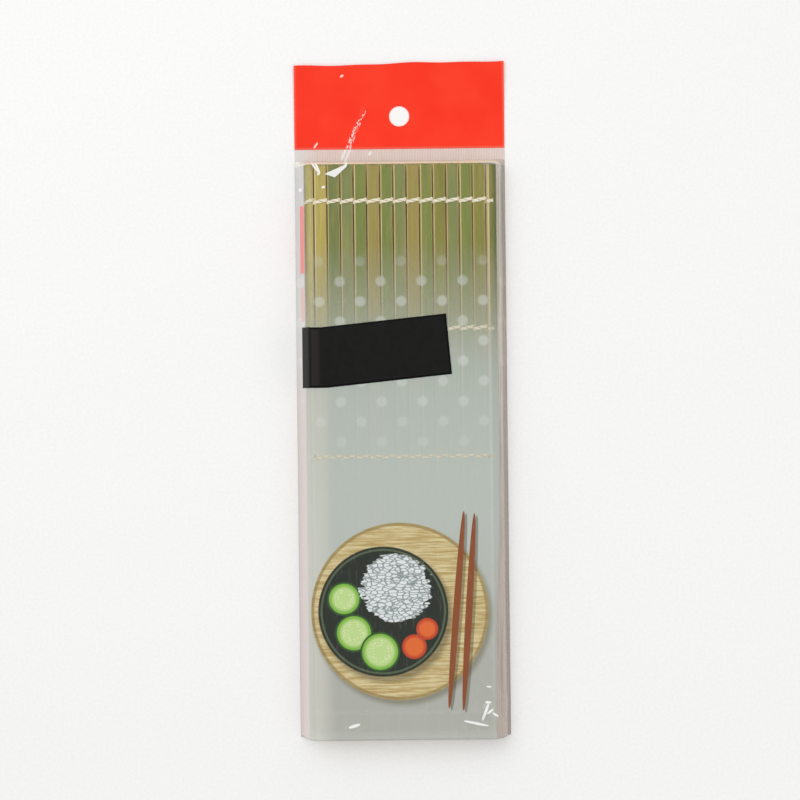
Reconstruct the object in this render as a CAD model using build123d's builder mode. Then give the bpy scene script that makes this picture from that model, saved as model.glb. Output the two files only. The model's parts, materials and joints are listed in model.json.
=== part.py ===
from build123d import *
import os
from math import asin, cos, degrees, radians, sin, tan

# A sushi rolling mat of split bamboo, folded in three inside a clear film header bag.
# X runs across the slats, Y along them towards the header, Z up from the table.
# Seen along the slats, the mat is one chain: the bottom panel runs to the right, turns round an
# edge slat, comes back as the middle panel, turns round a second edge slat and runs right again.

os.makedirs("parts", exist_ok=True)

# Slats
slat_length = 240.0
slat_width = 5.0
slat_thickness = 1.5
skin_width = 4.6
skin_bevel = 0.35
cream_bevel = 0.15

# Cords: each line is two flat strands that swap faces in every gap between two slats
cord_width = 1.4
cord_thickness = 0.5
cord_clearance = 0.05
twin_gap = 0.2
cord_lines = 5
first_cord_inset = 15.2
last_cord_inset = 8.0

# How the mat is folded
bottom_count = 12
middle_count = 13
top_count = 14
edge_slat_angle = 60.0
free_edge_droop = 45.0
layer_clearance = 0.2
middle_shift = 1.3

# Bag
bag_width = 90.0
film_thickness = 0.1
film_clearance = 0.35
side_fold = 1.0
end_wall_lean = 1.4
mat_bottom_inset = 3.6
mat_top_inset = 2.9
under_mat_clearance = 0.25

# Header and heat seal
header_length = 37.5
header_thickness = 0.4
header_corner_radius = 0.8
hang_hole_radius = 4.35
hang_hole_inset = 23.5
seal_length = 5.0
seal_thickness = 0.3
seal_rib_pitch = 0.7
seal_rib_height = 0.1

# Label
label_thickness = 0.1
label_height = 25.6
label_left = -42.0
label_bend = -34.0
label_right = 19.0
label_bottom = 5.0
label_rise = 5.2
label_lean = 2.4

# Worked out from the sizes above
slat_gap = cord_thickness + 2 * cord_clearance
slat_pitch = slat_width + slat_gap
half_pitch = slat_pitch / 2
cord_level = slat_thickness / 2 + cord_clearance + cord_thickness / 2
cord_reach = cord_level + cord_thickness / 2
twin_offset = (cord_width + twin_gap) / 2
cord_spacing = (slat_length - first_cord_inset - last_cord_inset) / (cord_lines - 1)
bag_reach = mat_bottom_inset + slat_length + mat_top_inset
bag_length = bag_reach + seal_length + header_length
mat_bottom = -bag_length / 2 + mat_bottom_inset
mat_middle = mat_bottom + slat_length / 2
header_top = bag_length / 2
header_bottom = header_top - header_length
seal_bottom = header_bottom - seal_length


def point_at(origin, across, up, heading):
    """The place, seen along the slats, of an offset given in a slat's own across and up."""
    turn_cos = cos(radians(heading))
    turn_sin = sin(radians(heading))
    return origin + Vector(across * turn_cos - up * turn_sin, across * turn_sin + up * turn_cos)


def pivot_height(bend):
    """How far a hinge line lies from the slats' middle plane, towards the inside of its bend.

    It is just off the inner faces, so that the cord still has its room between the corners."""
    return slat_thickness / 2 + slat_gap / 2 * tan(radians(abs(bend)) / 4)


# The middle panel leans, because a fold is taller than the layers are at its far end
return_angle = 180.0 - edge_slat_angle
fold_height = slat_pitch * sin(radians(edge_slat_angle))
fold_height += pivot_height(edge_slat_angle) + pivot_height(return_angle)
close_height = 2 * cord_reach + layer_clearance
middle_lean = degrees(asin((fold_height - close_height) / (middle_count * slat_pitch)))
return_bend = return_angle + middle_lean

bends = [0.0] * (bottom_count - 1) + [edge_slat_angle, return_bend]
bends += [0.0] * (middle_count - 1) + [-return_bend, -edge_slat_angle]
bends += [0.0] * (top_count - 2) + [-free_edge_droop]

# Each slat's middle and heading, and each hinge line, from the left end of the bottom panel
middles = [Vector(0, film_thickness + under_mat_clearance + cord_reach)]
headings = [0.0]
pivots = []
for bend in bends:
    inside = 1 if bend >= 0 else -1
    pivots.append(point_at(middles[-1], half_pitch, inside * pivot_height(bend), headings[-1]))
    headings.append(headings[-1] + bend)
    middles.append(point_at(pivots[-1], half_pitch, -inside * pivot_height(bend), headings[-1]))

# The stack is centred on the bag
stack_left = min(middle.X for middle in middles)
stack_right = max(middle.X for middle in middles)
to_centre = Vector(-(stack_left + stack_right) / 2, 0)
middles = [middle + to_centre for middle in middles]
pivots = [pivot + to_centre for pivot in pivots]

slat_count = len(middles)
first_middle = bottom_count + 1
last_middle = bottom_count + middle_count


def shift_along(index):
    """How far a slat stands towards the header: the middle panel sits a little askew."""
    if first_middle <= index <= last_middle:
        return middle_shift
    beside_middle = index in (first_middle - 1, last_middle + 1)
    return middle_shift / 2 if beside_middle else 0.0


def slat_plane(index):
    """The plane across a slat at its middle, with the slat's own across and up."""
    middle = middles[index]
    heading = radians(headings[index])
    origin = (middle.X, mat_middle + shift_along(index), middle.Y)
    return Plane(origin=origin, x_dir=(cos(heading), 0, sin(heading)), z_dir=(0, -1, 0))


def ribbon(route, thickness):
    """The outline of a strip of one thickness along a route, mitred at its corners."""
    runs = [(b - a).normalized() for a, b in zip(route, route[1:])]
    sides = []
    for before, after in zip(runs[:1] + runs, runs + runs[-1:]):
        square = Vector(-before.Y, before.X)
        mitre = Vector(-before.Y - after.Y, before.X + after.X).normalized()
        sides.append(mitre * (thickness / 2 / mitre.dot(square)))
    left = [point + side for point, side in zip(route, sides)]
    right = [point - side for point, side in zip(route, sides)]
    return left + right[::-1]


def strand_route(face):
    """The middle line of one strand, from free edge to free edge of the mat.

    face is 1 where it starts on the green skin side and -1 where it starts on the cream side."""
    start = middles[0]
    route = [
        point_at(start, -half_pitch, 0, headings[0]),
        point_at(start, -half_pitch, face * cord_level, headings[0]),
    ]
    for index, bend in enumerate(bends):
        inside = 1 if bend >= 0 else -1
        leaving = point_at(middles[index], half_pitch, face * cord_level, headings[index])
        arriving = point_at(
            middles[index + 1], -half_pitch, -face * cord_level, headings[index + 1]
        )
        over_pivot = (cord_level - pivot_height(bend)) / cos(radians(bend) / 2)
        between = headings[index] + bend / 2
        inner_corner = point_at(pivots[index], 0, inside * over_pivot, between)
        if bend == 0:
            route += [leaving, arriving]
        elif face == inside:
            route += [inner_corner, pivots[index], arriving]
        else:
            route += [leaving, pivots[index], inner_corner]
        face = -face
    route.append(point_at(middles[-1], half_pitch, face * cord_level, headings[-1]))
    route.append(point_at(middles[-1], half_pitch, 0, headings[-1]))
    return route


# Slats: green skin side up in the bottom and top panels, cream side up in the middle one
skin_side = slat_thickness / 2
for index in range(slat_count):
    name = f"slat_{index + 1:02d}"
    with BuildPart() as slat:
        with BuildSketch(slat_plane(index)):
            with BuildLine():
                half_outline = [
                    (0, -skin_side),
                    (slat_width / 2 - cream_bevel, -skin_side),
                    (slat_width / 2, -skin_side + cream_bevel),
                    (slat_width / 2, skin_side - skin_bevel),
                    (skin_width / 2, skin_side),
                    (0, skin_side),
                ]
                Polyline(*half_outline)
                mirror(about=Plane.YZ)
            make_face()
        extrude(amount=slat_length / 2, both=True)
    slat.part.label = name
    export_step(slat.part, f"parts/{name}.step")

# Cords: on every slat one strand of the pair lies on the skin side and the other on the cream side
for line in range(cord_lines):
    line_y = mat_bottom + slat_length - first_cord_inset - line * cord_spacing
    for twin, face in (("front", 1), ("back", -1)):
        name = f"cord_{line + 1}_{twin}"
        with BuildPart() as strand:
            with BuildSketch(Plane.XZ.offset(-line_y - face * twin_offset)):
                with BuildLine():
                    Polyline(*ribbon(strand_route(face), cord_thickness), close=True)
                make_face()
            extrude(amount=cord_width / 2, both=True)
        strand.part.label = name
        export_step(strand.part, f"parts/{name}.step")

# Front film: one sheet drawn up over the stack, down to both side folds and to the seal
film_middle = film_thickness * 3 / 2
film_top = max(middle.Y for middle in middles) + cord_reach + film_clearance
film_outside = cord_reach + film_clearance
left_edge_slat = slat_count - top_count - 1


def beside(index, across):
    """Where the film passes one end of a slat that leans."""
    return point_at(middles[index], across, film_outside, headings[index])


film_route = [
    Vector(-bag_width / 2, film_middle),
    Vector(-bag_width / 2 + side_fold, film_middle),
    beside(left_edge_slat, -half_pitch),
    Vector(beside(left_edge_slat, half_pitch).X, film_top),
    Vector(beside(-1, -half_pitch).X, film_top),
    beside(-1, half_pitch),
    Vector(bag_width / 2 - side_fold, film_middle),
    Vector(bag_width / 2, film_middle),
]
film_outline = ribbon(film_route, film_thickness)
film_outer = film_outline[: len(film_route)]
film_inner = film_outline[len(film_route) + 1 : -1]
table_corners = [Vector(bag_width / 2, film_thickness), Vector(-bag_width / 2, film_thickness)]
mouth_plane = Plane.XZ.offset(bag_length / 2)


def end_plane(inset):
    """The leaning end wall behind the seal, moved towards the mat by an inset."""
    origin = (0, seal_bottom - inset, film_thickness)
    return Plane(origin=origin, x_dir=(1, 0, 0), z_dir=(0, film_top, end_wall_lean))


with BuildPart() as bag_room:
    with BuildSketch(mouth_plane):
        with BuildLine():
            Polyline(*film_inner, close=True)
        make_face()
    extrude(amount=-bag_reach)
    split(bisect_by=end_plane(film_thickness), keep=Keep.BOTTOM)

with BuildPart() as bag_front:
    with BuildSketch(mouth_plane):
        with BuildLine():
            Polyline(*film_outer, *table_corners, close=True)
        make_face()
    extrude(amount=-bag_reach)
    split(bisect_by=end_plane(0), keep=Keep.BOTTOM)
    add(bag_room.part, mode=Mode.SUBTRACT)
bag_front.part.label = "bag_front"
export_step(bag_front.part, "parts/bag_front.step")

# Back film: flat on the table, from the mouth to the seal
with BuildPart() as bag_back:
    with BuildSketch():
        with Locations((0, (seal_bottom - bag_length / 2) / 2)):
            Rectangle(bag_width, bag_reach)
    extrude(amount=film_thickness)
bag_back.part.label = "bag_back"
export_step(bag_back.part, "parts/bag_back.step")

# Heat seal: both films welded together under a row of fine ribs
rib_count = int(bag_width / seal_rib_pitch)
rib_step = bag_width / rib_count
with BuildPart() as heat_seal:
    with BuildSketch(Plane.XZ.offset(-seal_bottom)):
        with BuildLine():
            crests = [(-bag_width / 2, seal_thickness - seal_rib_height)]
            for rib in range(rib_count):
                rib_left = -bag_width / 2 + rib * rib_step
                crests.append((rib_left + rib_step / 2, seal_thickness))
                crests.append((rib_left + rib_step, seal_thickness - seal_rib_height))
            Polyline((-bag_width / 2, 0), *crests, (bag_width / 2, 0), close=True)
        make_face()
    extrude(amount=-seal_length)
heat_seal.part.label = "heat_seal"
export_step(heat_seal.part, "parts/heat_seal.step")

# Header: a plain coloured strip with a hole to hang the bag by
with BuildPart() as header:
    with BuildSketch() as header_outline:
        with Locations((0, header_bottom + header_length / 2)):
            Rectangle(bag_width, header_length)
        fillet(header_outline.vertices().group_by(Axis.Y)[-1], header_corner_radius)
    extrude(amount=header_thickness)
    with Locations((0, header_top - hang_hole_inset, header_thickness)):
        Hole(hang_hole_radius)
header.part.label = "header"
export_step(header.part, "parts/header.step")

# Label: a dark strip across the front film, wrapped a little way down its left side
label_middle = ribbon(film_route, film_thickness + label_thickness)[: len(film_route)]
label_outline = [
    (label_left, label_bottom),
    (label_left, label_bottom + label_height),
    (label_bend, label_bottom + label_height),
    (label_right, label_bottom + label_height + label_rise),
    (label_right + label_lean, label_bottom + label_rise),
    (label_bend, label_bottom),
]
with BuildPart() as label:
    with BuildSketch(Plane.XZ):
        with BuildLine():
            Polyline(*ribbon(label_middle[1:-1], label_thickness), close=True)
        make_face()
    extrude(amount=bag_length / 2, both=True)
    with BuildSketch():
        with BuildLine():
            Polyline(*label_outline, close=True)
        make_face()
    extrude(amount=film_top + film_thickness + label_thickness, mode=Mode.INTERSECT)
label.part.label = "label"
export_step(label.part, "parts/label.step")
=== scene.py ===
# %% [markdown]
# # A sushi rolling mat in its header bag
# A bamboo mat is folded in three and lies inside a slim bag of clear film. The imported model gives
# the slats, the seal and the places of everything else. This lesson dresses it: split bamboo,
# twisted cotton, printed film, and plain light from above.

# %% Load the frame
import json
import math
from itertools import pairwise

import bmesh
import bpy
import numpy as np
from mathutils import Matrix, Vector


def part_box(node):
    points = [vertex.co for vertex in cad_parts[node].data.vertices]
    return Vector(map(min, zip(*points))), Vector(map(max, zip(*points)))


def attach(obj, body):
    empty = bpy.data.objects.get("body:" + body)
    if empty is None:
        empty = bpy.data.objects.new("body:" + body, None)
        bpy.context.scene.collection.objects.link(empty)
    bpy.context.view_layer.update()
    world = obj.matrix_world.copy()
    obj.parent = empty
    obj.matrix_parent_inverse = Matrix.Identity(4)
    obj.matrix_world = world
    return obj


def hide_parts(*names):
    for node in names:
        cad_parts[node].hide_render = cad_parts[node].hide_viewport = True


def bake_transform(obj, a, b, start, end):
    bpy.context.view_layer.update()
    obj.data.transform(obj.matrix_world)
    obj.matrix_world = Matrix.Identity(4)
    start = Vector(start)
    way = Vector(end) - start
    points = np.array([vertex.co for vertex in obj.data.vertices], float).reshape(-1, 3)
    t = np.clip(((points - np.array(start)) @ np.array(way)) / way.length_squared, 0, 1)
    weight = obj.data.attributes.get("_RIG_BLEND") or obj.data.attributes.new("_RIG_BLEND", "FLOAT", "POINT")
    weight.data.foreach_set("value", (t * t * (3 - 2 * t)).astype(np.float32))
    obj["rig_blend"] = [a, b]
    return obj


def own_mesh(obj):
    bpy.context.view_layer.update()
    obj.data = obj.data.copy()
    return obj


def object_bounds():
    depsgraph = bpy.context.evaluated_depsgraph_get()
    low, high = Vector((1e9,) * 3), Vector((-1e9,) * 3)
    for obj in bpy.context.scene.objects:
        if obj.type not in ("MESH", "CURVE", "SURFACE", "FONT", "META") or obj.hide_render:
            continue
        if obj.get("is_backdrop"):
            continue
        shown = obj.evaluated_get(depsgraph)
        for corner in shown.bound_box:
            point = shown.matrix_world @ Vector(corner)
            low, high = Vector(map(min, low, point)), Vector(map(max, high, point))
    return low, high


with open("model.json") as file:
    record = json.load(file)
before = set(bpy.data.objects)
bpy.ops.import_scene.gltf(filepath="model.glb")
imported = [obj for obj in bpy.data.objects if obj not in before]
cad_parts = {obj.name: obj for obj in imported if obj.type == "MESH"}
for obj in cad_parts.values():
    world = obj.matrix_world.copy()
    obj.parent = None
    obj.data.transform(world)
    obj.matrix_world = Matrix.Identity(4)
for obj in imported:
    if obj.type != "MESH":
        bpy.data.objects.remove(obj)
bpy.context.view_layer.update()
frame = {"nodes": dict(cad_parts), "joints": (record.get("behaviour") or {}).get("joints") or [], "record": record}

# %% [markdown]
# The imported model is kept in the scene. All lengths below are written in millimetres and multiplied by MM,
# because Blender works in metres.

MM = 0.001

SLAT_THICKNESS = 1.5
SLAT_PITCH = 5.6
SLATS = sorted(name for name in frame["nodes"] if name.startswith("slat_"))
BOTTOM_COUNT = 12
MIDDLE_COUNT = 13
ROOT_SLAT = BOTTOM_COUNT
RIGHT_EDGE = ROOT_SLAT + 1
LEAD_SLAT = RIGHT_EDGE + 1
LEFT_EDGE = LEAD_SLAT + MIDDLE_COUNT
TOP_FIRST = LEFT_EDGE + 1
LAST_SLAT = len(SLATS)


def slat_name(number):
    return f"slat_{number:02d}"


def joint_of(number):
    """The joint that carries a slat."""
    return next(joint for joint in frame["joints"] if joint["child"] == slat_name(number))


# %% [markdown]
# The folded mat is one chain of slats. Each slat's heading is how far it has turned as the chain
# goes along: the edge slats lean, the middle panel runs back upside down, and the last slat droops.
# The joints know how far each fold still has to open, so the headings are read from them.

# %% Place and heading of each slat
EDGE_LEAN = joint_of(RIGHT_EDGE)["range_deg"][1]
MIDDLE_HEADING = EDGE_LEAN + joint_of(LEAD_SLAT)["range_deg"][1]
LAST_DROOP = 45.0


def heading_of(number):
    if number in (RIGHT_EDGE, LEFT_EDGE):
        return math.radians(EDGE_LEAN)
    if LEAD_SLAT <= number < LEFT_EDGE:
        return math.radians(MIDDLE_HEADING)
    return -math.radians(LAST_DROOP) if number == LAST_SLAT else 0.0


def middle_of(number):
    low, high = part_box(slat_name(number))
    return (low + high) / 2


def slat_point(number, across, up, y):
    """A point given in a slat's own across and up, at a height y of the whole mat."""
    middle, heading = middle_of(number), heading_of(number)
    x = middle.x + across * math.cos(heading) - up * math.sin(heading)
    z = middle.z + across * math.sin(heading) + up * math.cos(heading)
    return Vector((x, y, z))


# %% [markdown]
# Materials are node trees, and small helpers keep them readable: one adds a node and fills its
# sockets, some do arithmetic, and one turns a value into a soft step from 0 to 1. A socket knows
# the tree it is in, so only what starts a chain of nodes is told the tree.

# %% Node helpers
def srgb(code):
    """A colour as it looks on a screen, turned into the linear values that Blender wants."""
    parts = [int(code[i : i + 2], 16) / 255 for i in (1, 3, 5)]
    return [c / 12.92 if c <= 0.04045 else ((c + 0.055) / 1.055) ** 2.4 for c in parts] + [1.0]


def fill(node, inputs):
    """Links or sets sockets of a node, each given by its name or number."""
    for key, value in inputs.items():
        if isinstance(value, bpy.types.NodeSocket):
            node.id_data.links.new(value, node.inputs[key])
        else:
            node.inputs[key].default_value = srgb(value) if isinstance(value, str) else value


def add_node(tree, kind, inputs=None, **settings):
    made = tree.nodes.new("ShaderNode" + kind)
    for key, value in settings.items():
        setattr(made, key, value)
    fill(made, inputs or {})
    return made


def joined(kind, inputs, **settings):
    """Adds a node to the tree of the sockets that feed it."""
    sockets = (value for value in inputs.values() if isinstance(value, bpy.types.NodeSocket))
    return add_node(next(sockets).id_data, kind, inputs, **settings)


def calc(operation, *values, clamp=False):
    made = joined("Math", dict(enumerate(values)), operation=operation, use_clamp=clamp)
    return made.outputs[0]


def times(first, second):
    return calc("MULTIPLY", first, second)


def minus(first, second):
    return calc("SUBTRACT", first, second)


def vector_calc(operation, output, inputs):
    return joined("VectorMath", inputs, operation=operation).outputs[output]


def step(value, low, high, low_out=0.0, high_out=1.0):
    """A soft step: low_out where value is under low, high_out where it is over high."""
    inputs = dict(enumerate((value, low, high, low_out, high_out)))
    return joined("MapRange", inputs, interpolation_type="SMOOTHSTEP").outputs["Result"]


def blend(share, first, second):
    return joined("Mix", {0: share, 6: first, 7: second}, data_type="RGBA").outputs[2]


def local_place(tree, origin=(0, 0, 0), turn=0.0, stretch=(1, 1, 1)):
    """The place on the piece in millimetres, moved to an origin, turned about Y and stretched."""
    place = add_node(tree, "TexCoord").outputs["Object"]
    scale = [MM * s for s in stretch]
    inputs = {"Vector": place, "Location": origin, "Rotation": (0, turn, 0), "Scale": scale}
    return joined("Mapping", inputs, vector_type="TEXTURE").outputs[0]


def noise_of(place, scale, detail=2.0, roughness=0.5, seed=0.0):
    inputs = {"Vector": place, "Scale": scale, "Detail": detail, "Roughness": roughness, "W": seed}
    return joined("TexNoise", inputs, noise_dimensions="4D").outputs["Fac"]


def stretched(place, along):
    """The same place with each axis multiplied, so that a texture runs long or short on it."""
    return vector_calc("MULTIPLY", 0, {0: place, 1: along})


def cells_of(place, scale, feature="F1"):
    """How far a place is from the nearest cell's middle, or from its edge, in a Voronoi pattern."""
    inputs = {"Vector": place, "Scale": scale}
    return joined("TexVoronoi", inputs, feature=feature).outputs["Distance"]


def surface_noise(tree, scale, detail=2.0, stretch=(1, 1, 1)):
    return noise_of(local_place(tree, stretch=stretch), scale, detail)


def new_material(name, roughness=0.5):
    material = bpy.data.materials.new(name)
    material.use_nodes = True
    shader = material.node_tree.nodes["Principled BSDF"]
    fill(shader, {"Roughness": roughness})
    return material, material.node_tree, shader


def bump(shader, height, strength, distance):
    inputs = {"Height": height, "Strength": strength, "Distance": distance * MM}
    fill(shader, {"Normal": joined("Bump", inputs).outputs[0]})


# %% [markdown]
# Each slat is a strip split from a bamboo stem. Its outer face keeps the waxy green skin, and the
# other faces are cut wood, pale cream with fibres along the strip. One material is made per slat,
# in the slat's own axes: across, along and up. The skin stops short of the edges, where the knife
# has taken it off, by a width that differs from slat to slat, so some show a broad cream line.

# %% Split bamboo
SKIN_TINTS = {
    "yellow": ("#C2B05A", "#AC9E4E"),
    "pale": ("#D6CB88", "#C0B776"),
    "moss": ("#6D793A", "#7E8440"),
    "leaf": ("#828B3C", "#727E36"),
    "grey": ("#7C8449", "#85894D"),
    "olive": ("#8E8B38", "#827C30"),
    "tan": ("#A4934A", "#988A42"),
}
TOP_TINTS = "pale yellow moss grey leaf tan leaf grey tan leaf olive grey leaf olive grey".split()
HIDDEN_TINTS = "leaf tan grey moss olive yellow grey".split()
CREAM_TINTS = ("#EBDCA6", "#C9AE6C")
FIBRE_BROWN = "#8E6C34"
HALF_SKIN = 2.3
THIN_SKIN = 0.1
SKIN_ROUGHNESS = 0.4
WOOD_ROUGHNESS = 0.72
WRAPPED_SKIN = 0.9
SKIN_EDGE = 0.12
SKIN_FADE = 0.08
SKIN_LEAN = 0.16
LEAN_SPREAD = 0.14
HALF_LENGTH = 120.0
END_FACE = (HALF_LENGTH - 0.1, HALF_LENGTH - 0.02)
SKIN_TOP = SLAT_THICKNESS / 2


def bamboo_material(number, tint, lean, skin_depth):
    material, tree, shader = new_material(f"bamboo_{number:02d}")
    place = local_place(tree, middle_of(number), -heading_of(number))
    across, along, up = joined("SeparateXYZ", {0: place}).outputs
    seed = number * 3.7

    streaks = noise_of(stretched(place, (2.2, 0.035, 2.2)), 1.0, 3.0, 0.6, seed)
    fine = noise_of(stretched(place, (9.0, 0.25, 9.0)), 1.0, 2.0, 0.6, seed + 1)
    clouds = noise_of(stretched(place, (0.25, 0.03, 0.25)), 1.0, 2.0, 0.5, seed + 2)
    skin = blend(step(streaks, 0.34, 0.66), *SKIN_TINTS[tint])
    skin = blend(step(clouds, 0.5, 0.72, 0, 0.35), skin, "#A99C5C")
    skin = blend(step(fine, 0.52, 0.75, 0, 0.3), skin, "#5A6432")
    spots = cells_of(stretched(place, (0.9, 0.45, 0.9)), 1.0)
    skin = blend(step(spots, 0.1, 0.04, 0, 0.45), skin, "#6B5A34")

    wood = blend(step(streaks, 0.3, 0.7), *CREAM_TINTS)
    wood = blend(step(fine, 0.55, 0.8, 0, 0.45), wood, FIBRE_BROWN)
    pore = step(cells_of(place, 2.6), 0.32, 0.18, 0, 0.7)
    end_face = step(calc("ABSOLUTE", along), *END_FACE)
    wood = blend(times(pore, end_face), wood, FIBRE_BROWN)

    ragged = calc("MULTIPLY_ADD", streaks, 0.5, lean - 0.25)
    from_middle = calc("ABSOLUTE", minus(across, ragged))
    half_skin = HALF_SKIN + skin_depth - THIN_SKIN
    on_skin = step(from_middle, half_skin, half_skin - SKIN_EDGE)
    skin_start = SKIN_TOP - skin_depth
    on_skin = times(on_skin, step(up, skin_start, skin_start + SKIN_FADE))
    colour = blend(on_skin, wood, skin)
    rough = step(on_skin, 0, 1, WOOD_ROUGHNESS, SKIN_ROUGHNESS)
    fill(shader, {"Base Color": colour, "Roughness": rough, "Specular IOR Level": 0.3})
    bump(shader, calc("ADD", streaks, fine), 0.35, 0.12)
    return material


for number in range(1, LAST_SLAT + 1):
    top_index = number - LEFT_EDGE
    tint = TOP_TINTS[top_index] if top_index >= 0 else HIDDEN_TINTS[number % len(HIDDEN_TINTS)]
    lean = SKIN_LEAN + LEAN_SPREAD * math.sin(number * 2.3)
    node = frame["nodes"][slat_name(number)]
    node.data.materials.clear()
    skin_depth = WRAPPED_SKIN if number in (RIGHT_EDGE, LEFT_EDGE) else THIN_SKIN
    node.data.materials.append(bamboo_material(number, tint, lean, skin_depth))
print("slats finished:", LAST_SLAT)

# %% [markdown]
# The slats are held by five lines of cotton. A line has two strands: over each slat one lies on
# the skin and the other on the back, and in every gap they change places. Between two gaps a
# strand also slants sideways, which is what gives the stitches their lean. A strand's route is a
# NURBS spline through a few chosen places: flat over the slat, then round its edge and down into
# the gap. A curve object without a bevel turns into evenly numbered points when it is made a mesh.

# %% Route of one strand from a slat's middle to a gap
CORD_WIDTH = 1.7
CORD_THICKNESS = 0.62
CORD_SINK = 0.04
HALF_SLANT = 0.6
LINE_COUNT = 5
CORD_LEVEL = SKIN_TOP + CORD_THICKNESS / 2 - CORD_SINK
HALF_PITCH = SLAT_PITCH / 2
# Shares of the half pitch and of the cord's level, from the middle of a slat out to the gap
STRAND_SHARES = [(0.0, 1.0), (0.35, 1.03), (0.7, 1.0), (0.86, 0.95), (0.96, 0.6)]


def spline_points(points, resolution):
    """The points of a NURBS spline of order 3 with these control points."""
    curve = bpy.data.curves.new("route", "CURVE")
    curve.dimensions = "3D"
    curve.resolution_u = resolution
    spline = curve.splines.new("NURBS")
    spline.points.add(len(points) - 1)
    for target, point in zip(spline.points, points):
        target.co = (*point, 1.0)
    spline.order_u = 3
    spline.use_endpoint_u = True
    route = bpy.data.objects.new("route", curve)
    mesh = bpy.data.meshes.new_from_object(route)
    found = [vert.co.copy() for vert in mesh.vertices]
    bpy.data.objects.remove(route)
    bpy.data.curves.remove(curve)
    bpy.data.meshes.remove(mesh)
    return found


def line_height(line):
    """The height on the mat of a line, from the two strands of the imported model."""
    front, back = (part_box(f"cord_{line}_{twin}") for twin in ("front", "back"))
    return sum(corner.y for corner in (*front, *back)) / 4


def gap_after(number):
    """Where the strands cross between a slat and the next: on the hinge line at a fold."""
    if abs(heading_of(number) - heading_of(number + 1)) > 0.01:
        return Vector(joint_of(number + 1)["pos_m"])
    start = slat_point(number, HALF_PITCH * MM, 0, 0)
    end = slat_point(number + 1, -HALF_PITCH * MM, 0, 0)
    return (start + end) / 2


def half_strand(number, side, face):
    """The route from a slat's middle to the gap on one side, on the skin where face is 1."""
    route = []
    for out, level in STRAND_SHARES:
        across, up = out * HALF_PITCH * side, level * CORD_LEVEL * face
        slant = HALF_SLANT * out * side * face
        route.append(slat_point(number, across * MM, up * MM, slant * MM))
    crossing = gap_after(number if side > 0 else number - 1)
    crossing.y = HALF_SLANT * side * face * MM
    return spline_points([*route, crossing], resolution=3)


line_heights = [line_height(line) for line in range(1, LINE_COUNT + 1)]
print("lines at", [round(y / MM, 1) for y in line_heights], "mm")
print("a half strand has", len(half_strand(TOP_FIRST, 1, 1)), "points")

# %% [markdown]
# Each strand is two yarns twisted together, so its section is a flattened figure with two lobes,
# and the lobes turn once from a slat's middle to the gap. The tube is built ring by ring from that
# section, with its wide side along the mat.

# %% Twisted strand as a mesh
RING_POINTS = 12
LOBE_DEPTH = 0.13


def twisted_tube(mesh, route, turn_start, turn_end, shift=Vector()):
    """Adds a two-lobed, turning tube along a route to a bmesh."""
    floats = mesh.verts.layers.float
    groove = floats.get("groove") or floats.new("groove")
    rings = []
    last = len(route) - 1
    for index, point in enumerate(route):
        ahead = (route[min(index + 1, last)] - route[max(index - 1, 0)]).normalized()
        side = Vector((0, 1, 0))
        side = (side - ahead * side.dot(ahead)).normalized()
        normal = ahead.cross(side)
        turn = 2 * math.pi * (turn_start + (turn_end - turn_start) * index / last)
        ring = []
        for spoke in range(RING_POINTS):
            angle = 2 * math.pi * spoke / RING_POINTS
            lobe = math.cos(2 * (angle - turn))
            reach = 1 - LOBE_DEPTH + LOBE_DEPTH * lobe
            wide = math.cos(angle) * reach * CORD_WIDTH / 2 * MM
            high = math.sin(angle) * reach * CORD_THICKNESS / 2 * MM
            vert = mesh.verts.new(point + shift + side * wide + normal * high)
            vert[groove] = max(0.0, -lobe)
            ring.append(vert)
        rings.append(ring)
    for ring, following in pairwise(rings):
        for spoke in range(RING_POINTS):
            after = (spoke + 1) % RING_POINTS
            mesh.faces.new((ring[spoke], following[spoke], following[after], ring[after]))
    mesh.faces.new(rings[0])
    mesh.faces.new(rings[-1][::-1])


def object_from(mesh, name, material):
    """Turns a bmesh into an object at the origin, smooth, with its faces pointing outwards."""
    bmesh.ops.recalc_face_normals(mesh, faces=mesh.faces)
    data = bpy.data.meshes.new(name)
    mesh.to_mesh(data)
    mesh.free()
    data.materials.append(material)
    data.shade_smooth()
    piece = bpy.data.objects.new(name, data)
    bpy.context.scene.collection.objects.link(piece)
    return piece


# %% [markdown]
# Undyed cotton is warm white and rough. Shade is painted into the groove between the two yarns, which the tube has
# written down as an attribute, so the cotton is darker there, and fine noise stands in for the fibres.

# %% Cotton
cotton, tree, shader = new_material("cotton", roughness=0.9)
place = local_place(tree)
fuzz = noise_of(place, 3.2, 4.0, 0.7)
patches = noise_of(place, 0.5)
colour = blend(step(fuzz, 0.3, 0.7), "#EBE0C2", "#FFF9E8")
colour = blend(step(patches, 0.45, 0.7, 0, 0.3), colour, "#DCCDA4")
groove = add_node(tree, "Attribute", attribute_name="groove").outputs["Fac"]
# Painted shade: the cotton is darkened in the groove between the yarns
colour = blend(step(groove, 0.35, 1.0, 0, 0.6), colour, "#AC9A6C")
fill(shader, {"Base Color": colour, "Sheen Weight": 0.3})
bump(shader, fuzz, 0.6, 0.15)

# %% [markdown]
# In the top panel and at the folds each gap has its own hinge, so the piece over a gap runs from
# middle to middle and bends there. In the bottom and middle panels the slats hang on their panel's
# leading slat, so there the pieces are cut in the gaps and each rides on its own slat.

# %% Strands over every slat and gap
BLEND_REACH = 0.3
# The ends of the two lower panels, where the strands go on from one side of the slat only
ONE_SIDED = {1: (1,), ROOT_SLAT: (-1,), LEAD_SLAT: (1,), LEFT_EDGE - 1: (-1,)}


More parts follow.
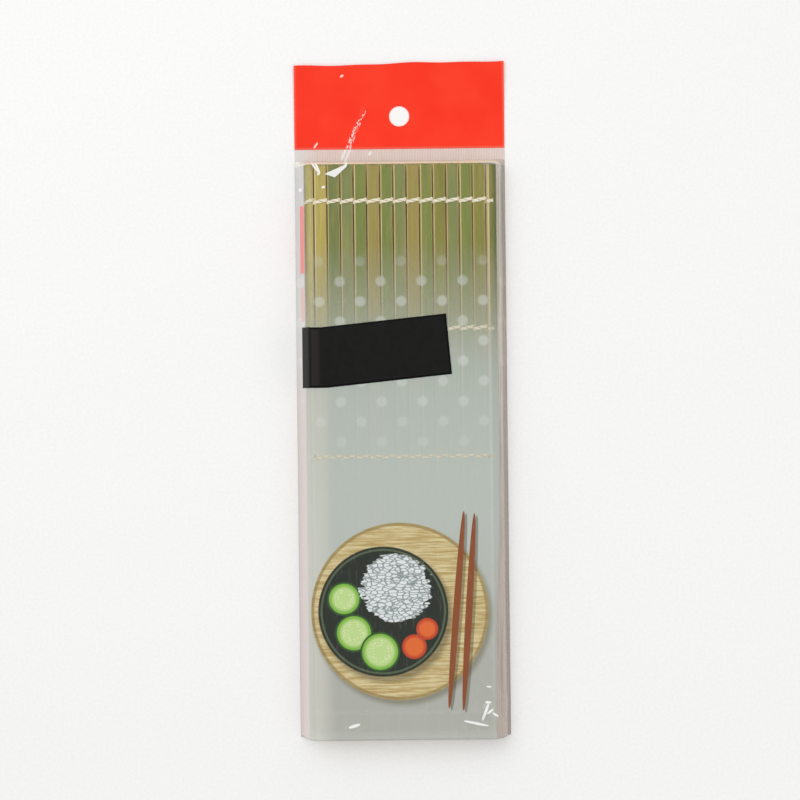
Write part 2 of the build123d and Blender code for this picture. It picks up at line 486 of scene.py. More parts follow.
def strands(name, halves):
    """One piece: for both faces of every line, a tube along one half route or two joined ones.

    A half is (slat, side, face), and the first of two runs towards the second."""
    mesh = bmesh.new()
    for face in (1, -1):
        routes = [half_strand(number, side, face * turned) for number, side, turned in halves]
        if len(routes) == 1:
            route, turns = routes[0], (0, 1)
        elif halves[0][0] == halves[1][0]:
            route, turns = [*reversed(routes[0]), *routes[1][1:]], (-1, 1)
        else:
            route, turns = [*routes[0], *list(reversed(routes[1]))[1:]], (0, 2)
        for height in line_heights:
            twisted_tube(mesh, route, *turns, shift=Vector((0, height, 0)))
    piece = object_from(mesh, name, cotton)
    return piece


def strands_over_gap(number, first_body):
    piece = strands(f"cord_gap_{number:02d}", [(number, 1, 1), (number + 1, -1, -1)])
    crossing = gap_after(number)
    towards = slat_point(number + 1, 0, 0, 0) - slat_point(number, 0, 0, 0)
    towards = towards.normalized() * BLEND_REACH * MM
    bodies = (slat_name(first_body), slat_name(number + 1))
    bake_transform(piece, *bodies, start=crossing - towards, end=crossing + towards)
    return piece


def strands_over_slat(number, sides):
    piece = strands(f"cord_slat_{number:02d}", [(number, side, 1) for side in sides])
    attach(piece, slat_name(number))
    return piece


for number in range(1, LAST_SLAT):
    if number <= ROOT_SLAT or LEAD_SLAT <= number < LEFT_EDGE:
        strands_over_slat(number, ONE_SIDED.get(number, (-1, 1)))
    if number in (ROOT_SLAT, RIGHT_EDGE) or number >= LEFT_EDGE - 1:
        first_body = LEAD_SLAT if number == LEFT_EDGE - 1 else number
        strands_over_gap(number, first_body)

# %% [markdown]
# At both free edges the two strands are knotted together just past the last slat, and the cut end
# sticks out a little. The knot is a lumpy bead of the same cotton.

# %% End knots
KNOT_HALF_SIZES = (0.75, 0.95, 0.65)
KNOT_OUT = 0.2
TAIL_OUT = 0.75
TAIL_LENGTH = 1.7
TAIL_TURNS = 0.6
TAIL_RISE = 0.2
LUMP_SHARE = 0.13


def add_knot(mesh, number, side, height, lean):
    """Adds the knot of one line at a slat's outer edge, and its cut end."""
    middle = slat_point(number, (HALF_PITCH + KNOT_OUT) * side * MM, 0, height)
    bead = bmesh.ops.create_uvsphere(mesh, u_segments=16, v_segments=10, radius=1.0)
    for vert in bead["verts"]:
        lump = 1 + LUMP_SHARE * math.sin(9 * vert.co.z + 2 * math.atan2(vert.co.y, vert.co.x))
        vert.co = middle + Vector([c * s * lump * MM for c, s in zip(vert.co, KNOT_HALF_SIZES)])
    end = slat_point(number, (HALF_PITCH + TAIL_OUT) * side * MM, 0, height)
    end += Vector((0.3 * side, lean * TAIL_LENGTH, TAIL_RISE)) * MM
    bend = (middle + end) / 2 + Vector((0, 0, TAIL_RISE * MM))
    tail = spline_points([middle, bend, end], resolution=4)
    twisted_tube(mesh, tail, 0.0, TAIL_TURNS)


for number, side in ((1, -1), (LAST_SLAT, 1)):
    mesh = bmesh.new()
    for line, height in enumerate(line_heights):
        add_knot(mesh, number, side, height, 0.6 + 0.4 * math.sin(line * 2.1))
    piece = object_from(mesh, f"cord_knots_{number:02d}", cotton)
    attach(piece, slat_name(number))

cord_nodes = [name for name in frame["nodes"] if name.startswith("cord_")]
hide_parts(*cord_nodes)
print("cords replaced:", len(cord_nodes))

# %% [markdown]
# The bag is a tube of clear film, closed at the top by a heat seal. Its front film rises over the
# mat, runs flat across it and comes down again. The profile across the bag is a NURBS spline with
# control points close together at the bends, and it is sampled at even steps.

# %% Profile of the front film
FILM_BASE = 0.15
FILM_TOP = 12.81
FILM_COLUMNS = 118
FILM_ROWS = 250
FRONT_PROFILE = [
    (-45.0, FILM_BASE),
    (-44.3, FILM_BASE),
    (-43.75, 0.8),
    (-41.565, 6.719),
    (-39.3, 11.7),
    (-38.6, FILM_TOP),
    (-37.2, FILM_TOP),
    (36.6, FILM_TOP),
    (38.2, FILM_TOP),
    (39.0, 11.6),
    (41.882, 8.129),
    (42.4, 6.2),
    (43.8, 0.9),
    (44.3, FILM_BASE),
    (45.0, FILM_BASE),
]
BEFORE_MAT_END = 1.5
PAST_MAT_END = 1.2
SEAL_RUN = 1.0
mat_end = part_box(slat_name(TOP_FIRST))[1].y / MM
film_low, film_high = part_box("bag_front")
# Along the bag the film is high over the mat and drops to the seal behind the mat's ends
DROP_PROFILE = [
    (film_low.y / MM, 1.0),
    (mat_end - BEFORE_MAT_END, 1.0),
    (mat_end + PAST_MAT_END, 1.0),
    (film_high.y / MM - SEAL_RUN, 0.25),
    (film_high.y / MM, 0.0),
]


def evenly(points, count, stretch=1.0):
    """Points at even steps along a line of points, and the line's length.

    stretch multiplies the second value of a point where it isn't a length itself."""
    line = np.array(points)
    steps = np.hypot(np.diff(line[:, 0]), stretch * np.diff(line[:, 1]))
    along = np.concatenate([[0.0], np.cumsum(steps)])
    even = np.linspace(0, along[-1], count)
    return np.stack([np.interp(even, along, line[:, k]) for k in (0, 1)], axis=1), along[-1]


front_line = [(p.x, p.z) for p in spline_points([(x, 0, z) for x, z in FRONT_PROFILE], 12)]
drop_line = [(p.x, p.z) for p in spline_points([(y, 0, s) for y, s in DROP_PROFILE], 12)]
profile, film_width = evenly(front_line, FILM_COLUMNS + 1)
drop, film_length = evenly(drop_line, FILM_ROWS + 1, stretch=FILM_TOP - FILM_BASE)
print(f"front film cut: {film_width:.1f} x {film_length:.1f} mm")

# %% [markdown]
# Thin film creases where it was folded and handled. Each crease is a straight tent-shaped ridge,
# given by its two ends, its height and its width in millimetres. Low, broad waves lie between
# them, and one corner is crumpled.

# %% Creases and waves
CREASES = [
    ((-14.6, 124.0), (-22.6, 104.5), 0.5, 1.4),
    ((-22.5, 105.0), (-31.5, 93.5), 0.7, 1.8),
    ((-24.0, 100.5), (-29.0, 93.5), 0.4, 1.0),
    ((-39.5, 100.5), (-34.5, 94.5), 0.5, 0.9),
    ((-37.5, 101.0), (-35.0, 95.0), 0.4, 0.8),
    ((-41.5, 90.0), (-43.4, 86.5), 0.5, 1.0),
    ((35.3, -129.0), (32.3, -136.6), 0.9, 1.3),
    ((34.4, -133.6), (37.2, -131.5), 0.6, 1.0),
    ((24.6, -136.6), (35.0, -138.8), 0.8, 1.0),
    ((-24.2, -139.1), (-19.2, -137.5), 0.5, 1.0),
    ((30.0, -118.0), (38.0, -126.0), 0.5, 1.6),
    ((33.0, -105.0), (38.0, -112.0), 0.4, 1.8),
    ((-30.0, -142.0), (-8.0, -138.0), 0.35, 2.0),
]
CRUMPLE_MIDDLE = (34.0, -133.0)
CRUMPLE_REACH = 15.0
CRUMPLE_HEIGHT = 0.8
WAVE_HEIGHT = 0.22
RIPPLE_HEIGHT = 0.12
RIPPLE_REACH = 9.0


def crease_height(x, y):
    height = np.zeros_like(x)
    for (x0, y0), (x1, y1), rise, width in CREASES:
        length_squared = (x1 - x0) ** 2 + (y1 - y0) ** 2
        along = np.clip(((x - x0) * (x1 - x0) + (y - y0) * (y1 - y0)) / length_squared, 0, 1)
        off = np.hypot(x - x0 - along * (x1 - x0), y - y0 - along * (y1 - y0))
        height = np.maximum(height, rise * np.clip(1 - off / width, 0, 1))
    return height


def waves(x, y, seed):
    """Smooth waves of several lengths, from 0 to 1."""
    total = (
        np.sin(x / 7.3 + np.sin(y / 23.0 + seed) * 1.7 + seed)
        + np.sin(y / 15.1 + np.sin(x / 9.7 - seed) * 1.3 - 2 * seed)
        + 0.5 * np.sin((x + 0.6 * y) / 3.9 + 3 * seed)
    )
    return (total + 2.5) / 5.0


def crumple(x, y):
    """Sharp, small facets round one corner of the bag."""
    near = np.clip(1 - np.hypot(x - CRUMPLE_MIDDLE[0], y - CRUMPLE_MIDDLE[1]) / CRUMPLE_REACH, 0, 1)
    facets = np.abs(np.sin(x / 2.7 + 1.3 * np.sin(y / 3.1))) * np.abs(np.sin(y / 3.4 + x / 5.3))
    return near * facets


def film_lift(x, y):
    """How far the front film stands above its plain shape."""
    near_end = np.clip((y - mat_end) / RIPPLE_REACH + 1, 0, 1)
    ripples = RIPPLE_HEIGHT * near_end * (1 + np.sin(x / 1.25 + 0.8 * np.sin(x / 4.1)))
    broad = WAVE_HEIGHT * waves(x, y, 0.4) + CRUMPLE_HEIGHT * crumple(x, y)
    return broad + crease_height(x, y) + ripples


print("highest crease:", max(rise for *_, rise, _ in CREASES), "mm")

# %% [markdown]
# A sheet starts as a grid primitive whose points are then laid in place by a rule, as a cloth is
# laid by hand. A Solidify modifier gives it its wall, and is applied.

# %% Grid laid by a rule
def deselect():
    bpy.ops.object.select_all(action="DESELECT")


def points_of(piece):
    """The places of a mesh's points, one row each."""
    places = np.zeros(len(piece.data.vertices) * 3)
    piece.data.vertices.foreach_get("co", places)
    return places.reshape(-1, 3)


def apply_modifiers(piece):
    deselect()
    piece.select_set(True)
    bpy.context.view_layer.objects.active = piece
    for modifier in list(piece.modifiers):
        bpy.ops.object.modifier_apply(modifier=modifier.name)


def laid_sheet(name, columns, rows, rule, wall, slot, outside, inside=None):
    """A grid whose point at shares u, v of its width and length lies at rule(u, v), in mm.

    outside and inside are the materials of its upper and lower wall."""
    deselect()
    bpy.ops.mesh.primitive_grid_add(x_subdivisions=columns, y_subdivisions=rows, size=1)
    piece = bpy.context.object
    piece.name = piece.data.name = name
    u, v = points_of(piece)[:, :2].T + 0.5
    laid = np.stack(rule(u, v), axis=1) * MM
    piece.data.vertices.foreach_set("co", laid.ravel())
    piece.data.materials.append(outside)
    piece.data.materials.append(inside or outside)
    piece.data.shade_smooth()
    solid = piece.modifiers.new("wall", "SOLIDIFY")
    solid.thickness = wall * MM
    solid.offset = 0
    solid.material_offset = 1
    apply_modifiers(piece)
    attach(piece, "bag")
    return piece


def film_place(u, y, share, lift):
    """A place on the front film: u across it, y along it, lifted off its plain shape."""
    shares = np.linspace(0, 1, FILM_COLUMNS + 1)
    x = np.interp(u, shares, profile[:, 0])
    z = np.interp(u, shares, profile[:, 1])
    slope = np.gradient(profile, axis=0)
    slope /= np.linalg.norm(slope, axis=1, keepdims=True)
    off = film_lift(x, y) + lift
    x_out = x - np.interp(u, shares, slope[:, 1]) * off * share
    z_out = z + np.interp(u, shares, slope[:, 0]) * off * np.clip((z - FILM_BASE) / 2, 0, 1)
    return x_out, FILM_BASE + (z_out - FILM_BASE) * share


def front_film_rule(u, v):
    shares = np.linspace(0, 1, FILM_ROWS + 1)
    y = np.interp(v, shares, drop[:, 0])
    x, z = film_place(u, y, np.interp(v, shares, drop[:, 1]), 0.0)
    return x, y, z


# %% [markdown]
# The film is clear, and the ink on its outer wall covers what lies behind: the cover goes into the
# shader's Alpha. Thin ink scatters light rather than stopping it, so it casts less shadow than it
# covers. Every printed layer is a colour with its own cover, laid over the ones below.

# %% Printing helpers
INK_SHADOW = 0.25


def plan_place(tree):
    """The x and y of a place on the bag, in millimetres, from one node that all prints share."""
    place = tree.nodes.get("plan")
    place = place or joined("SeparateXYZ", {0: local_place(tree)}, name="plan")
    return place.outputs[:2]


def disc(tree, middle, radius, soft=0.25, at=None):
    """1 inside a round shape and 0 outside it."""
    x, y = at or plan_place(tree)
    dx, dy = minus(x, middle[0]), minus(y, middle[1])
    square = calc("MULTIPLY_ADD", dx, dx, times(dy, dy))
    return step(calc("SQRT", square), radius + soft, radius - soft)


def ring(tree, middle, radius, width):
    return minus(disc(tree, middle, radius), disc(tree, middle, radius - width))


def stroke(tree, start, end, half_width, soft=0.3):
    """1 near the straight line between two places on the bag, thinning towards its ends."""
    run = Vector((end[0] - start[0], end[1] - start[1], 0))
    place = vector_calc("MULTIPLY", 0, {0: local_place(tree), 1: (1, 1, 0)})
    off = vector_calc("SUBTRACT", 0, {0: place, 1: (*start, 0)})
    along = vector_calc("DOT_PRODUCT", "Value", {0: off, 1: run / run.length_squared})
    along = calc("ADD", along, 0.0, clamp=True)
    spot = vector_calc("SCALE", 0, {0: run, "Scale": along})
    gap = vector_calc("DISTANCE", "Value", {0: off, 1: spot})
    taper = times(along, minus(1.0, along))
    reach = times(calc("SQRT", taper), 2 * half_width)
    return step(minus(gap, reach), soft, 0.0)


def patch(tree, corners, soft=0.25):
    """1 inside a shape without hollows, whose corners are given clockwise."""
    place = local_place(tree)
    inside = None
    for (x0, y0), (x1, y1) in pairwise([*corners, corners[0]]):
        length = math.hypot(x1 - x0, y1 - y0)
        across = ((y1 - y0) / length, (x0 - x1) / length, 0)
        level = vector_calc("DOT_PRODUCT", "Value", {0: place, 1: across})
        off = minus(level, x0 * across[0] + y0 * across[1])
        inside = off if inside is None else calc("MINIMUM", inside, off)
    return step(inside, 0.0, soft)


def over(layer, mask, colour, strength=1.0):
    """Lays a colour over a layer of (colour, cover) where the mask is 1."""
    below, cover = layer
    mask = times(mask, strength)
    bare = times(minus(1.0, cover), minus(1.0, mask))
    total = minus(1.0, bare)
    share = calc("DIVIDE", mask, calc("MAXIMUM", total, 0.001))
    return blend(share, below, colour), total


def finish_ink(shader, layer):
    """Gives a shader a layer's colour, and its cover as Alpha."""
    shadow = add_node(shader.id_data, "LightPath").outputs["Is Shadow Ray"]
    thinner = calc("MULTIPLY_ADD", shadow, INK_SHADOW - 1.0, 1.0)
    fill(shader, {"Base Color": layer[0], "Alpha": times(layer[1], thinner)})


# %% [markdown]
# A pale ground fades in down the bag, under rows of light dots. Every second row is shifted by half
# a step, so two remainders find the place inside one cell, once for each set of rows.

# %% Dots and fading ground
DOT_RADIUS = 2.15
DOT_SOFT = 0.7
DOT_STEP = 17.3
DOT_ROW_STEP = 8.5
DOT_TOP_ROW = 58.3
DOT_LAST_ROW = -21.0
DOT_TOP_EDGE = DOT_TOP_ROW + DOT_ROW_STEP / 2
DOT_CUT = 0.1
# Each fade is a step between two heights on the bag, from its first strength to its second
DOT_FADES = [
    (62.0, 46.0, 0.35, 1.0),
    (-25.0, 25.0, 0.4, 1.0),
    (DOT_TOP_EDGE, DOT_TOP_EDGE - DOT_CUT, 0.0, 1.0),
    (DOT_LAST_ROW - DOT_CUT, DOT_LAST_ROW, 0.0, 1.0),
]
# Where the cotton presses against the film, its colour shows through better
PRESSED_SHARE = 0.45
MAT_SIDE = (38.5, 37.5)
STITCH_SIDE = (0.95, 0.35)
# Heights and places between which the ground changes its tint
GREYER_BELOW = (-20.0, -125.0)
GREENER_ABOVE = (10.0, 45.0)
PALER_LEFT = (-28.0, -38.0)
PALER_BELOW = (25.0, -5.0)
# How much the ground covers at each height on the bag
GROUND_COVERS = [(66.0, 0.0), (42.0, 0.4), (20.0, 0.66), (0.0, 0.78), (-60.0, 0.9)]


def nearest_cell(value, size, shift):
    """How far a value is from the nearest middle of a row of cells."""
    share = calc("MULTIPLY_ADD", value, 1 / size, 0.5 + shift)
    share = minus(calc("FLOORED_MODULO", share, 1.0), 0.5)
    return times(share, size)


def dots(tree):
    """The light dots, which fade in under the first row and out above the last."""
    x, y = plan_place(tree)
    found = None
    from_top = minus(y, DOT_TOP_ROW)
    for shift in (0.0, 0.5):
        across = nearest_cell(x, DOT_STEP, shift)
        along = nearest_cell(from_top, 2 * DOT_ROW_STEP, shift)
        one = disc(tree, (0, 0), DOT_RADIUS, DOT_SOFT, at=(across, along))
        found = one if found is None else calc("MAXIMUM", found, one)
    for fade in DOT_FADES:
        found = times(found, step(y, *fade))
    return found


def printed_ground(tree):
    """The pale ground's colour and how much it covers, from clear at the top to nearly solid."""
    x, y = plan_place(tree)
    colour = blend(step(y, *GREYER_BELOW), "#C3CCC5", "#B7B9B1")
    colour = blend(step(y, *GREENER_ABOVE), colour, "#BFC2AC")
    left = times(step(x, *PALER_LEFT), step(y, *PALER_BELOW, 0.0, 0.7))
    colour = blend(left, colour, "#D9D9D0")
    cover = 0.0
    for (high, less), (low, more) in pairwise(GROUND_COVERS):
        part = joined("MapRange", {0: y, 1: high, 2: low, 3: 0.0, 4: more - less})
        cover = calc("ADD", part.outputs[0], cover)
    stitch = nearest_cell(minus(x, middle_of(TOP_FIRST).x / MM), SLAT_PITCH, 0.0)
    stitch = times(stitch, HALF_SLANT / HALF_PITCH)
    on_mat = step(calc("ABSOLUTE", x), *MAT_SIDE, 0.0, PRESSED_SHARE)
    for height in line_heights[1:3]:
        off = minus(minus(y, height / MM), stitch)
        pressed = times(step(calc("ABSOLUTE", off), *STITCH_SIDE), on_mat)
        colour = blend(pressed, colour, "#EAE4CE")
        cover = times(cover, minus(1.0, pressed))
    return colour, cover


# %% [markdown]
# The picture near the bottom shows a round wooden board with a dark plate of rice, cucumber and
# carrot, and two chopsticks. Rice is a Voronoi pattern of long cells whose edges are the dark
# gaps; a cucumber slice is three discs inside each other with seeds in a ring.

# %% Printed picture
BOARD = (-2.0, -90.0)
BOARD_RADIUS = 37.5
BOARD_RIM = 1.3
PLATE = (-9.0, -90.0)
PLATE_RADIUS = 27.5
PLATE_RING = (PLATE_RADIUS - 1.0, 0.8)
# A thing's shadow on the print: its shift in x and y, and how far it spreads
BOARD_SHADE = (1.2, -1.8, 0.4)
PLATE_SHADE = (1.5, -2.0, 0.5)
SHADE_SOFT = 1.6
STICK_HALF_WIDTH = 1.3
STICK_SHADE = (1.0, -1.0, 0.2)
RICE = (-3.0, -80.0)
RICE_RADIUS = 14.5
CUCUMBERS = [((-21.5, -99.0), 8.0), ((-10.5, -107.0), 8.4), ((-25.5, -84.5), 7.2)]
CARROTS = [((4.0, -105.0), 5.2), ((9.5, -97.5), 4.6)]
CUCUMBER_DISCS = [(0.0, 0.25, "#2B5320"), (0.8, 0.25, "#7DB73E"), (2.2, 1.0, "#BFDA8E")]
CARROT_DISCS = [(0.0, 0.25, "#C2401A"), (1.2, 0.8, "#E2692C")]
CHOPSTICKS = [((30.0, -49.0), (24.5, -132.0)), ((25.5, -48.0), (18.5, -131.0))]


def grains(tree, scale, seed, feature="F1"):
    place = local_place(tree, origin=(seed, 0, 0), stretch=(1.0, 0.45, 1.0))
    return cells_of(place, scale, feature)


def shade_under(tree, middle, radius, shade):
    spot = (middle[0] + shade[0], middle[1] + shade[1])
    return disc(tree, spot, radius + shade[2], SHADE_SOFT)


def board_layers(tree, layer):
    rings = noise_of(local_place(tree, stretch=(9.0, 0.7, 1.0)), 0.9, 4.0, 0.6)
    wood = blend(step(rings, 0.35, 0.65), "#DCCD9C", "#B59A5E")
    layer = over(layer, shade_under(tree, BOARD, BOARD_RADIUS, BOARD_SHADE), "#6E684C", 0.6)
    layer = over(layer, disc(tree, BOARD, BOARD_RADIUS), wood, 0.98)
    return over(layer, ring(tree, BOARD, BOARD_RADIUS, BOARD_RIM), "#8F7842", 0.7)


def sliced(tree, layer, middle, radius, discs):
    """A slice printed as discs inside each other, each given by (inset, softness, colour)."""
    for inset, soft, colour in discs:
        layer = over(layer, disc(tree, middle, radius - inset, soft), colour)
    return layer


def plate_layers(tree, layer):
    layer = over(layer, shade_under(tree, PLATE, PLATE_RADIUS, PLATE_SHADE), "#4F4526", 0.6)
    layer = over(layer, disc(tree, PLATE, PLATE_RADIUS), "#20271C")
    layer = over(layer, ring(tree, PLATE, *PLATE_RING), "#56654B", 0.9)
    for middle, radius in CUCUMBERS:
        layer = sliced(tree, layer, middle, radius, CUCUMBER_DISCS)
        seed_ring = ring(tree, middle, radius * 0.62, radius * 0.32)
        seeds = times(seed_ring, step(grains(tree, 0.75, radius), 0.36, 0.24))
        layer = over(layer, seeds, "#EDF1CE", 0.85)
    for middle, radius in CARROTS:
        layer = sliced(tree, layer, middle, radius, CARROT_DISCS)
    x, y = plan_place(tree)
    heap_x = calc("MULTIPLY_ADD", grains(tree, 0.32, 5.0), 5.0, x)
    heap = disc(tree, (RICE[0] + 2.0, RICE[1]), RICE_RADIUS, 0.3, at=(heap_x, y))
    gaps = step(grains(tree, 0.36, 2.0, "DISTANCE_TO_EDGE"), 0.16, 0.03)
    return over(layer, heap, blend(gaps, "#E3E7E7", "#8B9595"))


def printed_picture(tree, layer):
    layer = plate_layers(tree, board_layers(tree, layer))
    aside, down, spread = STICK_SHADE
    for ends in CHOPSTICKS:
        shade_ends = [(x + aside, y + down) for x, y in ends]
        shade = stroke(tree, *shade_ends, STICK_HALF_WIDTH + spread)
        layer = over(layer, shade, "#4A4228", 0.55)
        layer = over(layer, stroke(tree, *ends, STICK_HALF_WIDTH), "#8C4A22")
    return layer


# %% [markdown]
# At the sides the film bends down and lies double, so it looks milky there. The right side carries a strip of the
# back's pinkish ink in long folds, whose light and shade are painted. Glints on sharp creases and on a flap at the
# top left are painted white highlights, and a painted sheen whitens the film where it is seen edge-on.

# %% Printed film
FILM_WALL = 0.08
LEFT_MARGIN = (-40.4, -41.3)
END_WALL = (99.2, 99.8)
ROSE_BELOW = (35.0, -10.0)
# The right fold starts at one x above the first height and at another below the second
RIGHT_FOLD = (-40.0, -110.0, 40.4, 38.3)
RIGHT_FOLD_SOFT = 0.9
RIGHT_FOLD_DARKER_BELOW = (60.0, -40.0)
RIGHT_EDGE_LINE = (42.5, 42.9)
BAND_SOFT = 0.6
# Painted white highlights along sharp creases: start, end and half width of each stroke
GLINTS = [
    ((-23.6, 102.6), (-22.5, 98.9), 0.5),
    ((-37.8, 100.8), (-34.2, 95.6), 0.22),
    ((-36.2, 100.9), (-33.8, 95.9), 0.3),
    ((-33.8, 95.9), (-34.8, 94.9), 0.3),
    ((-33.0, 89.5), (-31.8, 90.1), 0.4),
    ((-43.3, 90.0), (-41.9, 88.8), 0.6),
    ((33.9, -128.8), (36.2, -128.8), 0.28),
    ((35.1, -129.4), (32.4, -136.3), 0.4),
    ((34.6, -133.5), (37.0, -131.7), 0.3),
    ((36.9, -133.3), (39.2, -134.9), 0.25),
    ((24.8, -136.6), (34.8, -138.7), 0.38),
    ((-24.0, -139.0), (-19.4, -137.6), 0.5),
    ((34.4, -122.1), (36.2, -122.3), 0.15),
]
# The back's red print comes round the left side fold; corners clockwise, as for the flap
RED_BAND = [(-43.2, 82.7), (-40.7, 82.7), (-40.7, 53.4), (-43.2, 53.4)]
PINK_BAND = [(-43.0, 48.0), (-40.7, 48.0), (-40.7, 33.0), (-43.0, 33.0)]
# The painted white highlight of a flap of film that stands up at the top left
FLAP_HIGHLIGHT = [(-32.1, 95.3), (-22.3, 99.7), (-22.4, 98.2), (-27.5, 93.7)]

printed_film, tree, shader = new_material("printed_film", roughness=0.15)
x, y = plan_place(tree)
noise = surface_noise(tree, 0.5, 3.0, stretch=(0.4, 2.5, 1))
folds = surface_noise(tree, 0.9, stretch=(0.45, 30.0, 1))
layer = over(printed_ground(tree), dots(tree), "#E1E6E1", 0.36)
layer = printed_picture(tree, layer)
edge_gloss = add_node(tree, "LayerWeight", {"Blend": 0.3}).outputs["Fresnel"]
layer = over(layer, step(edge_gloss, 0.1, 1.0, 0.0, 0.2), "#F6F6F4")
rose = blend(step(y, *ROSE_BELOW), "#F6F3F1", "#ECDAD8")
# A cream band painted over the film's end wall stands in for the slat ends behind it and paints light over the
# shade of the deep gap there
layer = over(layer, step(y, *END_WALL), "#FBF0D2", 0.85)
layer = over(layer, step(x, *LEFT_MARGIN), rose, 0.65)
layer = over(layer, patch(tree, PINK_BAND, BAND_SOFT), "#EFA9A3", 0.6)
layer = over(layer, patch(tree, RED_BAND, BAND_SOFT), "#F8705F", 0.85)
fold_start = step(y, *RIGHT_FOLD)
right_fold = step(minus(x, fold_start), 0.0, RIGHT_FOLD_SOFT)
low = step(y, *RIGHT_FOLD_DARKER_BELOW)
# Painted light and shade of the long folds: a lit and a shaded copy of the pinkish ink, striped by the fold noise
lit_fold_ink = blend(low, "#DED3C1", "#C4ADA2")
shaded_fold_ink = blend(low, "#B7AC9B", "#A29184")
pinkish = blend(step(folds, 0.4, 0.62), lit_fold_ink, shaded_fold_ink)
pinkish = blend(step(x, *RIGHT_EDGE_LINE, 0.0, 0.5), pinkish, "#9F9188")
layer = over(layer, right_fold, pinkish, 0.75)
layer = over(layer, step(noise, 0.5, 0.85, 0.0, 0.07), "#ECECE8")
# Painted highlights: white glints on the creases
for glint in GLINTS:
    layer = over(layer, stroke(tree, *glint), "#FDFDFA", 0.92)
# Painted highlight on the flap
layer = over(layer, patch(tree, FLAP_HIGHLIGHT), "#FBFBF8", 0.9)
finish_ink(shader, layer)
bump(shader, noise, 0.05, 0.3)

bare_film, _, shader = new_material("bare_film", roughness=0.1)
fill(shader, {"Base Color": "#F6F6F4", "Alpha": 0.02})

film_grid = (FILM_COLUMNS, FILM_ROWS, front_film_rule, FILM_WALL)
front_film = laid_sheet("front_film", *film_grid, "clear_film", printed_film, bare_film)
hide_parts("bag_front")
print("front film faces:", len(front_film.data.polygons))

# %% [markdown]
# The back film lies flat under the mat. It is a little milky, and pinkish low on the left, where
# the print of the back begins.

# %% Back film
BACK_FILM_HEIGHT = 0.05
PINK_LEFT = (-39.0, -43.5)
PINK_BELOW = (60.0, -10.0)
back_low, back_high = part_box("bag_back")

back_film_finish, tree, shader = new_material("back_film", roughness=0.25)
x, y = plan_place(tree)
noise = surface_noise(tree, 0.3, stretch=(2.0, 6.0, 1))
milky = blend(step(noise, 0.35, 0.7), "#ECE9E5", "#E2DED9")
pink = times(step(x, *PINK_LEFT), step(y, *PINK_BELOW))
layer = over((milky, step(noise, 0.3, 0.7, 0.3, 0.4)), pink, "#EFD3D4", 0.5)
finish_ink(shader, layer)
bump(shader, noise, 0.1, 0.2)


def back_film_rule(u, v):
    x = (back_low.x + (back_high.x - back_low.x) * u) / MM
    y = (back_low.y + (back_high.y - back_low.y) * v) / MM
    return x, y, np.full_like(x, BACK_FILM_HEIGHT)


back_grid = (24, 66, back_film_rule, FILM_WALL)
back_film = laid_sheet("back_film", *back_grid, "back_film", back_film_finish, bare_film)
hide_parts("bag_back")

# %% [markdown]
# The heat seal is both films pressed together between ribbed bars. Its ribs are in the packed model already; their
# crests are painted lighter than the valleys between, as painted light and shade, and a few glints are painted on
# as white highlights.

# %% Heat seal
SEAL_CREST = 0.29
SEAL_VALLEY = 0.16
SEAL_PALER_LEFT = (-33.0, -44.0)
SEAL_GLINTS = [
    ((-21.0, 107.6), (-23.4, 101.8), 0.35),
    ((-22.8, 107.6), (-25.0, 102.4), 0.4),
    ((-12.2, 106.0), (-13.2, 104.4), 0.5),
]
seal_finish, tree, shader = new_material("heat_seal", roughness=0.35)
x, _, up = joined("SeparateXYZ", {0: local_place(tree)}).outputs
noise = surface_noise(tree, 0.35, 3.0, stretch=(1.0, 4.0, 1))
# Painted shade in the valleys between the ribs, and painted light on their crests
shaded_valley = blend(step(noise, 0.35, 0.7), "#DFC3BA", "#D3B1A7")
colour = blend(step(up, SEAL_VALLEY, SEAL_CREST), shaded_valley, "#F6E6E0")
colour = blend(step(x, *SEAL_PALER_LEFT, 0.0, 0.8), colour, "#F1EDEC")
# Painted highlights: white glints on the seal
for glint in SEAL_GLINTS:
    colour = blend(stroke(tree, *glint), colour, "#FDFDFB")
fill(shader, {"Base Color": colour, "Alpha": 0.85})
seal = frame["nodes"]["heat_seal"]
seal.data.materials.clear()
seal.data.materials.append(seal_finish)

# %% [markdown]
# The header is the top of the bag, printed solid red and punched with a hole to hang it by. It is
# never quite flat, so the grid gets a low wave that grows towards the free edge. The hole is cut
# by a Boolean with a cylinder, after the wall is on.

# %% Header with its hang hole
header_low, header_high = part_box("header")
header_length = (header_high.y - header_low.y) / MM
hole = next(mount for mount in frame["record"]["mounts"] if mount["name"] == "hang_hole")
HEADER_SKEW = 0.017
HEADER_WAVE = 1.1
HEADER_SAG = 0.9
HEADER_HEIGHT = 0.2
HEADER_BASE_EDGE = (1.4, 0.2)
HEADER_SIDE_EDGE = (43.8, 44.7)
HEADER_WALL = 0.3
PUNCH_LENGTH = 20.0
HEADER_GLINTS = [
    ((-14.4, 123.4), (-17.2, 118.6), 0.3),
    ((-16.6, 119.6), (-20.0, 113.0), 0.9),
    ((-19.0, 114.6), (-22.4, 107.2), 1.0),
    ((-20.2, 112.0), (-21.4, 107.0), 0.6),
]
THIN_GLINTS = [((-36.6, 107.8), (-35.1, 110.0), 0.25), ((-25.0, 138.0), (-23.8, 138.8), 0.3)]


def header_rule(u, v):
    """Flat at the seal and round the hole, and wavy along the free edge."""
    half_width = (header_high.x - header_low.x) / 2 / MM
    x = (2 * u - 1) * half_width
    edge = v**2 * (0.25 * np.sin(x / 9.0 + 0.8) + 0.15 * np.sin(x / 3.7))
    y = header_low.y / MM + v * header_length + v * (x * HEADER_SKEW - HEADER_SAG) + edge
    from_hole = np.hypot(x, y - hole["pos_m"][1] / MM) / hole["dims"]["r_mm"]
    calm = np.clip((from_hole - 1.1) / 2, 0, 1) * np.clip(v * 4, 0, 1)
    lift = HEADER_WAVE * v * waves(x * 0.6, y, 1.3) + crease_height(x, y)
    return x, y, HEADER_HEIGHT + lift * calm


